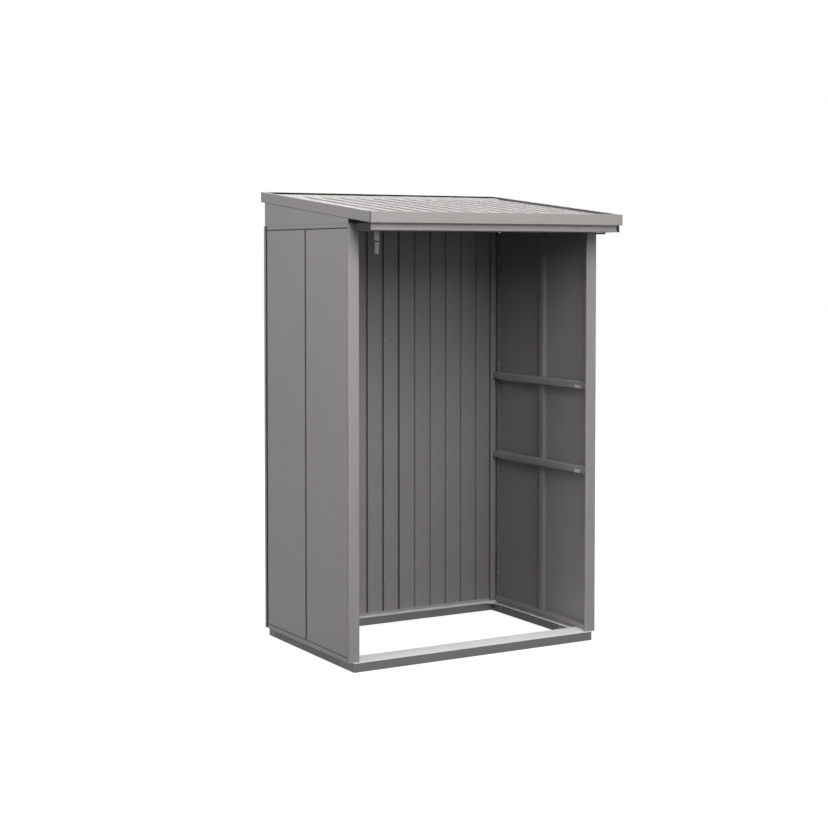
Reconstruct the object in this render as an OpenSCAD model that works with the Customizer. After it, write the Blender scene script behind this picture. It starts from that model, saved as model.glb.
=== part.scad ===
// Open-fronted garden log store in folded sheet steel.
// Millimetres, +Z up, front towards -Y. The origin is on the ground, under the
// middle of the roof.

/* [Base frame] */
// Width of the base frame
base_w = 1198; // [900:1:1800]
// Depth of the base frame
base_d = 816; // [650:1:1200]
// Height of the base frame
base_h = 38; // [30:1:60]
// Depth of the front sill's top face
sill_d = 115; // [80:1:160]
// Width of the side rails of the base
side_rail_w = 43; // [38:1:60]
// Width of the back rail of the base
back_rail_w = 59; // [50:1:80]
// Sheet thickness of the base frame
base_t = 2; // [1.5:0.1:3]
// Width of the foot flange that lies on the ground
foot_w = 12; // [8:0.5:12]
// Gap between the ground and the inner webs of the base
web_lift = 3.5; // [2:0.5:8]
// Radius of the base frame's four outer corners
base_corner_r = 8; // [3:0.5:10]
// Diameter of the ground anchor holes
anchor_d = 11; // [6:0.5:12]
// Distance of each anchor hole from the side and from the rail's end
anchor_in = 18; // [18:0.5:24]
// Radius of the curved edge of the corner brackets' top plates
corner_r = 62; // [40:1:80]
// Length of each leg of a corner bracket
corner_leg = 80; // [70:1:100]
// Distance of each corner bracket's open hole from the inner corner
corner_hole_in = 14; // [12:1:24]
// Diameter of the open hole in each corner bracket
corner_hole_d = 7; // [4:0.5:10]

/* [Walls] */
// Height of the wall frame's top edge
wall_h = 1836; // [1500:1:2100]
// How far the side walls stand outside the base
wall_out = 20; // [10:0.5:22]
// How far the front posts stand back from the base's front
post_set_back = 7; // [3:0.5:15]
// How far the back wall stands in from the base's back
wall_back_in = 5.5; // [2:0.5:12]
// Sheet thickness of posts, rails, gables and fascias
frame_t = 1.5; // [1:0.1:2]
// Sheet thickness of the wall panels and ribbed sheets
sheet_t = 1; // [0.7:0.1:1.3]
// Depth of the side wall panels' flanges
panel_flange = 19; // [15:0.5:24]
// Visible height of the bottom rails' outer faces
foot_rail_face = 19; // [12:0.5:30]
// Visible height of the top rails' outer faces
top_rail_face = 17; // [12:0.5:30]
// Height of the shadow grooves above and below the panels
groove_h = 5; // [4.5:0.5:8]
// Depth of the shadow grooves
groove_in = 6; // [5:0.5:8]
// Width of the side rails' seats on the base and under the gables
rail_w = 30; // [28:0.5:34]
// Height of the top rails' inner lips
rail_lip = 14; // [8:0.5:20]
// Width of a front post's face
post_w = 51; // [42:0.5:70]
// Width of a front post's side strip
post_side = 10; // [9.5:0.5:20]
// Depth of the posts' inner hems
post_hem = 12; // [7:0.5:20]
// Inside radius of the posts' folds
post_bend = 3; // [1.5:0.5:3]
// Inside radius of the rails' and panels' folds
rail_bend = 1; // [0.5:0.25:1.5]
// Distance from the base's front to the middle of the seam groove
seam_y = 399; // [330:1:460]
// Width of the seam groove between two side panels
seam_w = 14; // [8:0.5:20]
// Depth of the seam groove
seam_in = 10; // [7:0.5:11]
// Width of the stiffener behind the seam
stiffener_w = 31; // [20:0.5:45]
// Width of the shadow groove at the rear corners
corner_groove_w = 17; // [10:0.5:24]
// Depth of the shadow groove at the rear corners
corner_groove_in = 10; // [8:0.5:12]
// Visible side width of the rear corner trims
trim_side = 16; // [16:0.5:30]
// Width of the rear corner trims across the back
trim_back = 29; // [20:0.5:34]

/* [Ribbed sheets] */
// Spacing of the ribs
rib_pitch = 84.7; // [60:0.1:120]
// Distance of the lap joint's rib from the middle
lap_x = -19; // [-60:1:60]
// Height of a rib
rib_h = 7; // [4:0.5:10]
// Width of a rib where it leaves the flat
rib_base = 11; // [9:0.5:16]
// Width of a rib at its top
rib_top = 6; // [4:0.5:8]
// Extra half width of the outer rib where two sheets lap
lap_grow = 0.9; // [0.8:0.1:1.5]
// Width of the flat edge strip beside the lap rib
lap_flat = 14; // [10:0.5:25]
// Height of the back sheets' outer foot flange
back_foot = 45; // [30:1:80]
// Height of the back sheets' inner foot lip
back_lip = 12; // [6:0.5:20]

/* [Roof] */
// Rise of the roof from its front edge to its back edge
roof_rise = 108; // [60:1:300]
// Roof overhang in front of the base
roof_front = 179; // [150:1:250]
// Roof overhang behind the base
roof_back = 19; // [12:1:40]
// How far the roof stands out past each side wall
roof_side = 1; // [0.5:0.5:5]
// Height of the roof's fascias
fascia_h = 46; // [38:1:70]
// Width of the fascias' top flanges
fascia_top = 14; // [8:0.5:25]
// Width of the fascias' bottom flanges
fascia_foot = 12; // [8:0.5:20]
// Gap between the ends of the side fascias and the cross fascias
fascia_gap = 2.5; // [0.3:0.1:4]
// Length of each leg of the angles inside the roof's corners
cleat_leg = 24; // [15:1:40]
// Height of those angles
cleat_h = 20; // [10:1:21]
// How far the ribs lie below the fascias' top faces
sheet_drop = 7.5; // [1.7:0.1:8]
// Distance from the roof's front to the front end of the roof sheets
sheet_front = 22; // [16:1:40]
// Width of the purlins
purlin_w = 32; // [20:1:60]
// Distance from the roof's front to the front purlin, along the slope
purlin_front = 215; // [100:1:300]
// Gap between the rear purlin and the back wall's top rail
purlin_gap = 1.2; // [0.5:0.1:30]

/* [Gutter] */
// Height of the gutter
gutter_h = 29.5; // [20:0.5:40]
// Depth of the gutter from front to back
gutter_d = 108; // [100:1:125]
// Gap between the gutter's back and the front posts
gutter_gap = 59; // [45:1:65]
// How far each end of the gutter stands in from the roof's side
gutter_in = 11; // [4:0.5:20]
// Width of the lip along the gutter's front
gutter_lip = 10; // [5:0.5:20]
// Height of the raised band along the gutter's front foot
gutter_band_h = 8; // [6:0.5:14]
// How far the raised band stands out
gutter_band_out = 2.5; // [2:0.5:5]
// Width of the stop end at the gutter's right
stop_end_w = 13; // [8:0.5:16]
// Depth of the header beam behind the gutter
header_d = 40; // [25:1:60]
// Depth of the arm that ties the stop end to the right post
arm_h = 7; // [3:0.5:8]
// Width of that arm
arm_w = 5; // [4:0.5:10]
// How far the arm reaches under the stop end
arm_lap = 6; // [4:1:20]
// Width of the hangers between the header and the gutter
hanger_w = 32; // [20:1:45]
// Distance of the outer hangers from the middle
hanger_x = 400; // [300:1:480]

/* [Outlet] */
// Distance of the outlet from the base's left side
outlet_x = 50; // [42:1:120]
// Distance of the outlet from the gutter's back
outlet_y = 54; // [34:1:66]
// Outer diameter of the outlet's socket
socket_d = 25; // [22:0.5:40]
// Length of the socket below the gutter
socket_l = 41; // [20:1:80]
// Outer diameter of the outlet's spigot
spigot_d = 20.5; // [16:0.5:20.5]
// Length of the spigot below its collar
spigot_l = 42; // [20:1:100]
// Outer diameter of the spigot's collar
collar_d = 24; // [22:0.5:30]
// Height of the spigot's collar
collar_h = 5; // [3:0.5:10]
// Height of the seal between socket and spigot
seal_h = 6; // [3:0.5:10]
// Wall thickness of the outlet's tubes
tube_t = 1.7; // [1.2:0.1:2]
// How far the spigot reaches up into the socket
spigot_in = 25; // [10:1:30]
// Diameter of the socket's flange inside the gutter
flange_d = 44; // [36:1:60]

/* [Side rails] */
// Heights of the side rails' lower edges above the ground
side_rail_z = [735, 1113];
// Height of a side rail's section
side_rail_h = 35; // [25:1:60]
// How far a side rail stands in from the wall panels' flanges
side_rail_d = 12; // [8:0.5:25]
// Length of the end brackets along the rails
end_leg = 60; // [30:1:90]
// Length of the end brackets across the posts
end_foot = 17; // [12:0.5:17]
// Distance from a rail's front end to its clip plate
clip_at = 65; // [45:1:200]
// Length of a clip plate
clip_l = 42; // [20:1:80]
// Height of a clip plate
clip_h = 14; // [10:0.5:25]

/* [Fasteners] */
// Shank diameter of the small screws
screw_d = 4; // [3:0.1:5]
// Head diameter of the small screws
screw_head = 7; // [6:0.1:7.5]
// Head height of the small screws
screw_head_h = 2.2; // [1.2:0.1:3]
// Radial clearance round each screw shank
screw_fit = 0.15; // [0.1:0.05:0.4]
// Height of the lowest panel screw
screw_z0 = 179; // [100:1:300]
// Spacing of the panel screws
screw_step = 504; // [250:1:600]
// Height of the back sheets' bottom screws
foot_screw_z = 72; // [60:1:76]
// Distance of a bottom screw from its rib
foot_screw_in = 15; // [12:0.5:30]
// Height of the lowest screw in the lap joint
lap_screw_z = 210; // [120:1:350]
// Spacing of the screws in the lap joint
lap_screw_step = 367.5; // [200:0.5:500]

/* [Hidden] */
$fn = 48;

// Colours, as the photograph shows them.
paint = [0.55, 0.54, 0.52];
zinc = [0.78, 0.78, 0.77];
plastic = [0.42, 0.42, 0.41];
rubber = [0.08, 0.08, 0.08];

// A little more than nothing, so that cuts pass right through a face.
eps = 0.01;
// How far a cutting solid reaches past the face it cuts.
over = 1;

// Planes that the pieces share.
base_x = base_w / 2;
corner_in_x = base_x - side_rail_w;
wall_x = base_x + wall_out;
roof_x = wall_x + roof_side;
flange_x = wall_x - panel_flange;
base_y0 = (roof_front - roof_back - base_d) / 2;
base_y1 = base_y0 + base_d;
roof_y0 = base_y0 - roof_front;
roof_y1 = base_y1 + roof_back;
sill_y = base_y0 + sill_d;
back_rail_y = base_y1 - back_rail_w;
post_y = base_y0 + post_set_back;
panel_y0 = post_y + post_side;
seam_y0 = base_y0 + seam_y - seam_w / 2;
seam_y1 = seam_y0 + seam_w;
back_y = base_y1 - wall_back_in;
back_face_y = back_y - frame_t - rib_h - 2 * sheet_t;
trim_y = back_y - trim_side;
panel_y1 = trim_y - corner_groove_w;
corner_x = wall_x - corner_groove_in;
post_in_x = wall_x - post_w;
rail_in_x = wall_x - rail_w;

// Levels that the pieces share.
panel_z0 = base_h + foot_rail_face + groove_h;
panel_z1 = wall_h - top_rail_face - groove_h;
gutter_z = wall_h - gutter_h;

// The roof's front fascia stands on the level of the walls' top edge.
front_h = wall_h + fascia_h;
back_h = front_h + roof_rise;
// The roof's slope, and the drop from its top face to the sheets' underside.
slope = atan((back_h - front_h) / (roof_y1 - roof_y0));
slope_l = (roof_y1 - roof_y0) / cos(slope);
fascia_n = fascia_h * cos(slope);
sheet_under = sheet_drop + rib_h + 2 * sheet_t + sheet_t;
function roof_z(y) = front_h + (y - roof_y0) * tan(slope);
// The purlins' places along the slope.
purlin_end_y = back_face_y - frame_t - purlin_gap - roof_y0 - fascia_n * sin(slope);
purlin_back = purlin_end_y / cos(slope) - purlin_w;
purlin_at = [purlin_front, (purlin_front + purlin_back) / 2, purlin_back];
back_sheet_top = roof_z(back_face_y) - fascia_h + frame_t;

// Ribs that a sheet from x = a to x = b holds, without the lap rib.
edge_flat = 30;
function ribs_between(a, b) = [
  for (k = [floor((a - lap_x) / rib_pitch) : ceil((b - lap_x) / rib_pitch)])
    let (x = lap_x + k * rib_pitch)
    if (k != 0 && x > a + edge_flat && x < b - edge_flat) x
];
sheet_end_gap = 1;
sheet_x = corner_x - sheet_end_gap;
roof_sheet_x = roof_x - frame_t - sheet_end_gap / 2;

// Screw places.
screw_end_room = 40;
panel_screw_zs = [for (z = [screw_z0 : screw_step : panel_z1 - screw_end_room]) z];
lap_screw_zs = [for (z = [lap_screw_z : lap_screw_step : back_sheet_top - screw_end_room]) z];
foot_screw_xs = [
  for (x = concat(ribs_between(-post_in_x - edge_flat, lap_x), [lap_x],
                  ribs_between(lap_x, post_in_x - edge_flat)))
    x + foot_screw_in
];
shank_l = 7;
hole_l = 12;
lap_edge_x = lap_x + rib_base / 2 + lap_flat;
head_room = 0.1;
lap_screw_x = lap_x + rib_base / 2 + lap_grow + screw_head / 2 + head_room;
base_screw_z = 14;
corner_screw_in = 9;
panel_screw_in = 5;
stop_end_t = 2;
clip_screw_in = 6;
end_screw_in = 30;

// Bent sheet metal. The path is one face of the sheet, and the metal lies on
// its left. Every inner corner becomes a fold with inside radius r.
function heading(a, b) = (b - a) / norm(b - a);
function left_of(d) = [-d[1], d[0]];
function turn_at(a, b, c) =
  let (p = heading(a, b), q = heading(b, c))
  atan2(p[0] * q[1] - p[1] * q[0], p * q);
function fold(a, b, c, off, t, r, n) =
  let (
    d = heading(a, b),
    turn = turn_at(a, b, c),
    way = sign(turn),
    face_r = way > 0 ? r + t : r,
    centre = b - d * face_r * tan(abs(turn) / 2) + way * left_of(d) * face_r,
    start = atan2(d[1], d[0]) - way * 90
  )
  [for (k = [0 : n]) centre + (face_r - way * off)
    * [cos(start + turn * k / n), sin(start + turn * k / n)]];
function face(path, off, t, r, n) = let (last = len(path) - 1) [
  for (i = [0 : last]) each
    i == 0 ? [path[0] + off * left_of(heading(path[0], path[1]))]
    : i == last ? [path[i] + off * left_of(heading(path[i - 1], path[i]))]
    : fold(path[i - 1], path[i], path[i + 1], off, t, r, n)
];
function backwards(list) = [for (i = [len(list) - 1 : -1 : 0]) list[i]];
module bent(path, t = frame_t, r = rail_bend, n = 4)
  polygon(concat(face(path, 0, t, r, n), backwards(face(path, t, t, r, n))));

// Extrusions along each axis, of a section drawn in (y, z), (x, z) or (x, y).
module run_x(x0, x1)
  translate([x0, 0, 0]) rotate([90, 0, 90]) linear_extrude(x1 - x0) children();
module run_y(y0, y1)
  translate([0, y1, 0]) rotate([90, 0, 0]) linear_extrude(y1 - y0) children();
module run_z(z0, z1)
  translate([0, 0, z0]) linear_extrude(z1 - z0) children();
module box(a, b)
  translate(a) cube(b - a);
module both_sides() {
  children();
  mirror([1, 0, 0]) children();
}
// The roof's own frame: x across, y up the slope, z square to the top face.
module on_roof()
  translate([0, roof_y0, front_h]) rotate([slope, 0, 0]) children();

// Screws point along +Y in their own frame, with the head's seat at y = 0.
module screw(at, turn = [0, 0, 0], length = shank_l)
  translate(at) rotate(turn) rotate([-90, 0, 0]) {
    translate([0, 0, -screw_head_h]) cylinder(h = screw_head_h, d = screw_head);
    cylinder(h = length, d = screw_d);
  }
module screw_hole(at, turn = [0, 0, 0])
  translate(at) rotate(turn) rotate([-90, 0, 0])
    cylinder(h = hole_l, d = screw_d + 2 * screw_fit, center = true);

// Base frame. Each rail is a tray upside down, with a foot flange under its
// outer webs, and an inner web that stops short of the ground.
module rail_plan(x0, y0, x1, y1, in, front_r, back_r) {
  translate([x0 + in, y0 + max(front_r, in)])
    square([x1 - x0 - 2 * in, y1 - y0 - max(front_r, in) - max(back_r, in)]);
  if (front_r > in) {
    translate([x0 + front_r, y0 + in]) square([x1 - x0 - 2 * front_r, front_r]);
    for (x = [x0 + front_r, x1 - front_r])
      translate([x, y0 + front_r]) circle(front_r - in);
  }
  if (back_r > in) {
    translate([x0 + back_r, y1 - back_r]) square([x1 - x0 - 2 * back_r, back_r - in]);
    for (x = [x0 + back_r, x1 - back_r])
      translate([x, y1 - back_r]) circle(back_r - in);
  }
}
module base_tray(x0, y0, x1, y1, front_r = 0, back_r = 0)
  difference() {
    run_z(0, base_h) rail_plan(x0, y0, x1, y1, 0, front_r, back_r);
    run_z(base_t, base_h - base_t) rail_plan(x0, y0, x1, y1, base_t, front_r, back_r);
    run_z(-over, base_t + eps) rail_plan(x0, y0, x1, y1, foot_w, 0, 0);
  }

module base_front_sill()
  color(zinc) difference() {
    base_tray(-base_x, base_y0, base_x, sill_y, front_r = base_corner_r);
    box([-corner_in_x, sill_y - foot_w - eps, -over],
        [corner_in_x, sill_y + over, web_lift]);
    corner_screw_holes();
  }

module base_back_rail()
  color(zinc) difference() {
    base_tray(-base_x, back_rail_y, base_x, base_y1, back_r = base_corner_r);
    box([-corner_in_x, back_rail_y - over, -over],
        [corner_in_x, back_rail_y + foot_w + eps, web_lift]);
    corner_screw_holes();
  }

module side_base_rail()
  difference() {
    base_tray(-base_x, sill_y, -corner_in_x, back_rail_y);
    box([-corner_in_x - foot_w - eps, sill_y - over, -over],
        [-corner_in_x + over, back_rail_y + over, web_lift]);
    for (y = [sill_y + anchor_in, back_rail_y - anchor_in])
      translate([-base_x + anchor_in, y, base_h - base_t - over])
        cylinder(h = base_t + 2 * over, d = anchor_d);
    corner_screw_holes();
    at_corners() open_hole();
  }
module base_left_rail() color(zinc) side_base_rail();
module base_right_rail() color(zinc) mirror([1, 0, 0]) side_base_rail();

// Corner brackets: an angle inside each inner corner. At the back it has a plate
// on top whose free edge is curved. It is drawn for the front left corner.
plate_reach = 0.8;
corner_screw_xs = [corner_leg / 2, corner_leg - corner_screw_in];
module open_hole()
  translate([-base_t - over, corner_hole_in, base_screw_z]) rotate([0, 90, 0])
    cylinder(h = 2 * (base_t + over), d = corner_hole_d);
module corner_plate()
  run_z(base_h - base_t, base_h) difference() {
    square(plate_reach * corner_r);
    translate([corner_r, corner_r]) circle(corner_r - base_t, $fn = 96);
  }
module corner_bracket()
  difference() {
    union() {
      run_z(web_lift, base_h) bent([[0, corner_leg], [0, 0], [corner_leg, 0]],
                                   t = base_t, r = rail_bend);
      children();
    }
    for (side = [0, 1], x = corner_screw_xs) mirror([side, -side, 0])
      screw_hole([x, base_t, base_screw_z]);
    open_hole();
  }
module at_front_corners() both_sides() translate([-corner_in_x, sill_y, 0]) children();
module at_back_corners()
  both_sides() translate([-corner_in_x, back_rail_y, 0]) mirror([0, 1, 0]) children();
module at_corners() {
  at_front_corners() children();
  at_back_corners() children();
}
module base_corner_brackets() color(zinc) {
  at_front_corners() corner_bracket();
  at_back_corners() corner_bracket() corner_plate();
}
module base_corner_screws()
  color(zinc) at_corners() for (side = [0, 1], x = corner_screw_xs)
    mirror([side, -side, 0]) screw([x, base_t, base_screw_z], [0, 0, 180]);
module corner_screw_holes()
  at_corners() for (side = [0, 1], x = corner_screw_xs)
    mirror([side, -side, 0]) screw_hole([x, 0, base_screw_z]);

// Posts. Each is a C of sheet: a wide leg, a side strip, a flange that the
// wall panel is screwed to, and a hem on the inner edge.
module front_post()
  difference() {
    run_z(base_h, wall_h) bent([
      [-flange_x - eps, panel_y0], [-wall_x, panel_y0], [-wall_x, post_y],
      [-post_in_x, post_y], [-post_in_x, post_y + post_hem]
    ], r = post_bend);
    for (z = panel_screw_zs) screw_hole([-panel_screw_x, panel_y0, z]);
  }
module front_left_post() color(paint) front_post();
module front_right_post() color(paint) mirror([1, 0, 0]) front_post();

module rear_post()
  difference() {
    run_z(base_h, wall_h) bent([
      [-post_in_x, back_face_y - post_hem], [-post_in_x, back_face_y],
      [-corner_x, back_face_y], [-corner_x, panel_y1], [-flange_x, panel_y1]
    ], r = post_bend);
    for (z = panel_screw_zs) screw_hole([-panel_screw_x, panel_y1, z]);
  }
module rear_left_post() color(paint) rear_post();
module rear_right_post() color(paint) mirror([1, 0, 0]) rear_post();

module corner_trim()
  run_z(base_h, wall_h) bent([
    [-wall_x + trim_back, back_face_y + 2 * sheet_t], [-wall_x + trim_back, back_y],
    [-wall_x, back_y], [-wall_x, trim_y], [-corner_x, trim_y]
  ]);
module rear_left_corner_trim() color(paint) corner_trim();
module rear_right_corner_trim() color(paint) mirror([1, 0, 0]) corner_trim();

// Rails of the side walls. The panels' flanges stand between them. A tab closes
// each rail's rear end, where it would lie open in the corner groove.
seat_w = 10;
seat_x = wall_x - groove_in - seat_w;
seat_gap = 1;
module rail_end_tab(z0, z1)
  box([-wall_x + frame_t / 2, panel_y1 - frame_t, z0 + frame_t / 2],
      [-seat_x, panel_y1, z1 - frame_t / 2]);
module foot_rail()
  union() {
    run_y(panel_y0, panel_y1) bent([
      [-seat_x, panel_z0], [-wall_x + groove_in, panel_z0],
      [-wall_x + groove_in, panel_z0 - groove_h], [-wall_x, panel_z0 - groove_h],
      [-wall_x, base_h], [-rail_in_x, base_h], [-rail_in_x, panel_z0],
      [-seat_x + seat_gap, panel_z0]
    ]);
    rail_end_tab(base_h, panel_z0 - groove_h);
  }
module left_foot_rail() color(paint) foot_rail();
module right_foot_rail() color(paint) mirror([1, 0, 0]) foot_rail();

module top_rail()
  union() {
    run_y(panel_y0, panel_y1) bent([
      [-rail_in_x, wall_h - rail_lip], [-rail_in_x, wall_h], [-wall_x, wall_h],
      [-wall_x, panel_z1 + groove_h], [-wall_x + groove_in, panel_z1 + groove_h],
      [-wall_x + groove_in, panel_z1], [-seat_x, panel_z1]
    ]);
    rail_end_tab(panel_z1 + groove_h, wall_h);
  }
module left_top_rail() color(paint) top_rail();
module right_top_rail() color(paint) mirror([1, 0, 0]) top_rail();

// Side wall panels: trays with flanges on all four sides.
panel_screw_x = flange_x + panel_screw_in;
stiffener_hem = 5;
module panel_ends(y0, y1)
  for (z = [panel_z0, panel_z1 - sheet_t])
    box([-wall_x + sheet_t / 2, y0 + sheet_t / 2, z],
        [-flange_x, y1 - sheet_t / 2, z + sheet_t]);
module front_panel()
  difference() {
    union() {
      run_z(panel_z0, panel_z1) bent([
        [-flange_x, seam_y0], [-wall_x, seam_y0], [-wall_x, panel_y0],
        [-flange_x, panel_y0]
      ], t = sheet_t);
      panel_ends(panel_y0, seam_y0);
    }
    for (z = panel_screw_zs, y = [panel_y0, seam_y0]) screw_hole([-panel_screw_x, y, z]);
  }
module left_front_panel() color(paint) front_panel();
module right_front_panel() color(paint) mirror([1, 0, 0]) front_panel();

module rear_panel()
  difference() {
    union() {
      run_z(panel_z0, panel_z1) bent([
        [-flange_x, panel_y1], [-wall_x, panel_y1], [-wall_x, seam_y1],
        [-wall_x + seam_in, seam_y1], [-wall_x + seam_in, seam_y0],
        [-flange_x, seam_y0], [-flange_x, seam_y0 + stiffener_w],
        [-flange_x - stiffener_hem, seam_y0 + stiffener_w]
      ], t = sheet_t);
      panel_ends(seam_y1, panel_y1);
    }
    for (z = panel_screw_zs, y = [seam_y0, panel_y1]) screw_hole([-panel_screw_x, y, z]);
  }
module left_rear_panel() color(paint) rear_panel();
module right_rear_panel() color(paint) mirror([1, 0, 0]) rear_panel();

// Screws through the panels' flanges, at the posts and at the seam.
module panel_screws()
  color(zinc) both_sides() for (z = panel_screw_zs) {
    screw([-panel_screw_x, panel_y0 + sheet_t, z], [0, 0, 180]);
    screw([-panel_screw_x, seam_y0 - sheet_t, z]);
    screw([-panel_screw_x, panel_y1 - sheet_t, z]);
  }

// Ribbed sheets. The section runs along x with its flats' inner faces at 0 and
// its ribs towards +y.
function rib(x, grow = 0) = [
  [x - rib_base / 2 - grow, 0], [x - rib_top / 2 - grow, rib_h],
  [x + rib_top / 2 + grow, rib_h], [x + rib_base / 2 + grow, 0]
];
module left_section(x_end)
  bent([
    [-x_end, 0], for (x = ribs_between(-x_end, lap_x)) each rib(x),
    each rib(lap_x), [lap_x + rib_base / 2 + lap_flat, 0]
  ], t = sheet_t, n = 2);
module right_section(x_end)
  translate([0, sheet_t]) bent([
    [lap_x - rib_base / 2 - lap_flat, 0], each rib(lap_x, lap_grow),
    for (x = ribs_between(lap_x, x_end)) each rib(x), [x_end, 0]
  ], t = sheet_t, n = 2);

back_sheet_z0 = base_h + frame_t;
module back_wall_holes() {
  for (x = foot_screw_xs) screw_hole([x, back_face_y, foot_screw_z]);
  for (z = lap_screw_zs) screw_hole([lap_screw_x, back_face_y, z]);
}
module back_left_sheet()
  color(paint) difference() {
    run_z(back_sheet_z0, back_sheet_top) translate([0, back_face_y]) left_section(sheet_x);
    back_wall_holes();
  }
module back_right_sheet()
  color(paint) difference() {
    run_z(back_sheet_z0, back_sheet_top) translate([0, back_face_y]) right_section(sheet_x);
    back_wall_holes();
  }
module back_foot_rail()
  color(paint) difference() {
    run_x(-post_in_x, post_in_x) bent([
      [back_face_y - frame_t, base_h + back_lip], [back_face_y - frame_t, base_h],
      [back_y, base_h], [back_y, base_h + back_foot]
    ]);
    for (x = foot_screw_xs) screw_hole([x, back_y, foot_screw_z]);
  }
module back_foot_screws()
  color(zinc) for (x = foot_screw_xs)
    screw([x, back_face_y + (x > lap_edge_x ? sheet_t : 0), foot_screw_z],
          length = back_y - back_face_y);
module back_lap_screws()
  color(zinc) for (z = lap_screw_zs) screw([lap_screw_x, back_face_y, z]);

// The back top rail caps the back sheets under the roof.
module back_top_rail()
  color(paint) run_x(-sheet_x, sheet_x) bent([
    [back_y, back_sheet_top - back_lip], [back_y, back_sheet_top + frame_t],
    [back_face_y - frame_t, back_sheet_top + frame_t],
    [back_face_y - frame_t, back_sheet_top - back_lip]
  ]);

module front_header()
  color(paint) difference() {
    run_x(-post_in_x, post_in_x) bent([
      [post_y + header_d, wall_h], [post_y, wall_h],
      [post_y, gutter_z], [post_y + header_d, gutter_z]
    ]);
    hanger_holes(post_y);
  }

// Gables fill the wedge between the top rails and the side fascias.
function gable_outline(in) = let (
  y0 = post_y + in, y1 = back_face_y - frame_t - in, drop = fascia_h + in / cos(slope)
) [
  [y0, wall_h + in], [y1, wall_h + in],
  [y1, roof_z(y1) - drop], [y0, roof_z(y0) - drop]
];
module gable()
  difference() {
    run_x(-wall_x, -flange_x) polygon(gable_outline(0));
    run_x(-wall_x + frame_t, -flange_x + over) polygon(gable_outline(frame_t));
  }
module left_gable() color(paint) gable();
module right_gable() color(paint) mirror([1, 0, 0]) gable();

// Side rails across the inside of each side wall, from post to post.
side_rail_x = flange_x - side_rail_d;
side_rail_y0 = panel_y0;
side_rail_y1 = back_face_y - frame_t;
module side_rail(z)
  difference() {
    run_y(side_rail_y0, side_rail_y1) bent([
      [-flange_x, z], [-side_rail_x, z], [-side_rail_x, z + side_rail_h],
      [-flange_x, z + side_rail_h]
    ]);
    side_rail_holes(z);
  }
module left_upper_side_rail() color(paint) side_rail(side_rail_z[1]);
module left_lower_side_rail() color(paint) side_rail(side_rail_z[0]);
module right_upper_side_rail() color(paint) mirror([1, 0, 0]) side_rail(side_rail_z[1]);
module right_lower_side_rail() color(paint) mirror([1, 0, 0]) side_rail(side_rail_z[0]);

// End brackets: one leg along the rail, one foot across the post.
end_gap = 3;
end_screw_ys = [side_rail_y0 + end_screw_in, side_rail_y1 - end_screw_in];
module end_bracket_holes(z)
  for (y = end_screw_ys)
    screw_hole([-side_rail_x, y, z + side_rail_h / 2], [0, 0, 90]);
module side_rail_holes(z) {
  end_bracket_holes(z);
  clip_holes(z);
}
module end_brackets(z)
  difference() {
    run_z(z + end_gap, z + side_rail_h - end_gap) {
      translate([-side_rail_x, post_y + frame_t]) square([frame_t, end_leg]);
      translate([-side_rail_x, post_y + frame_t]) square([end_foot, frame_t]);
      translate([-side_rail_x, side_rail_y1 - end_leg]) square([frame_t, end_leg]);
      translate([-side_rail_x, side_rail_y1 - frame_t]) square([end_foot, frame_t]);
    }
    end_bracket_holes(z);
  }
module side_rail_brackets()
  color(paint) both_sides() for (z = side_rail_z) end_brackets(z);

// Clip plates lie low on the rails' faces. Each has a screw at its front end
// and an open hole, through the rail too, at its back end.
clip_gap = 2;
clip_y0 = side_rail_y0 + clip_at;
clip_y1 = clip_y0 + clip_l;
clip_mid_h = clip_gap + clip_h / 2;
module clip_holes(z)
  for (y = [clip_y0 + clip_screw_in, clip_y1 - clip_screw_in])
    screw_hole([-side_rail_x, y, z + clip_mid_h], [0, 0, 90]);
module side_rail_clips()
  color(zinc) both_sides() for (z = side_rail_z)
    difference() {
      box([-side_rail_x, clip_y0, z + clip_gap],
          [-side_rail_x + frame_t, clip_y1, z + clip_gap + clip_h]);
      clip_holes(z);
    }
module side_rail_screws()
  color(zinc) both_sides() for (z = side_rail_z) {
    for (y = end_screw_ys)
      screw([-side_rail_x + frame_t, y, z + side_rail_h / 2], [0, 0, 90]);
    screw([-side_rail_x + frame_t, clip_y0 + clip_screw_in, z + clip_mid_h], [0, 0, 90]);
  }

// Roof sheets lie inside the fascias, with their ribs down the slope.
module roof_sheet_run()
  translate([0, sheet_front, -sheet_under]) rotate([90, 0, 0]) mirror([0, 0, 1])
    linear_extrude(slope_l - sheet_front - frame_t - fascia_gap) children();
module roof_left_sheet() color(paint) on_roof() roof_sheet_run() left_section(roof_sheet_x);
module roof_right_sheet() color(paint) on_roof() roof_sheet_run() right_section(roof_sheet_x);

function up_slope(l) = l * [cos(slope), sin(slope)];
// The cross fascias' flanges stop short of the side fascias' faces, and the
// side fascias' flanges stop short of the cross fascias' flanges.
fascia_fold = frame_t + rail_bend;
fascia_seam = fascia_fold + fascia_gap;
fascia_end = fascia_top + fascia_gap;
module cross_fascia_cuts(y0, y1)
  both_sides()
    box([-roof_x - over, y0, 0], [-roof_x + frame_t + fascia_gap, y1, back_h + over]);
module roof_front_fascia()
  color(paint) difference() {
    run_x(-roof_x, roof_x) bent([
      [roof_y0, front_h] + up_slope(fascia_top), [roof_y0, front_h],
      [roof_y0, front_h - fascia_h], [roof_y0 + fascia_foot, front_h - fascia_h]
    ]);
    cross_fascia_cuts(roof_y0 + fascia_fold, roof_y0 + fascia_end);
  }
module roof_back_fascia()
  color(paint) difference() {
    run_x(-roof_x, roof_x) bent([
      [roof_y1 - fascia_foot, back_h - fascia_h], [roof_y1, back_h - fascia_h],
      [roof_y1, back_h], [roof_y1, back_h] - up_slope(fascia_top)
    ]);
    cross_fascia_cuts(roof_y1 - fascia_end, roof_y1 - fascia_fold);
  }
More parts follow.
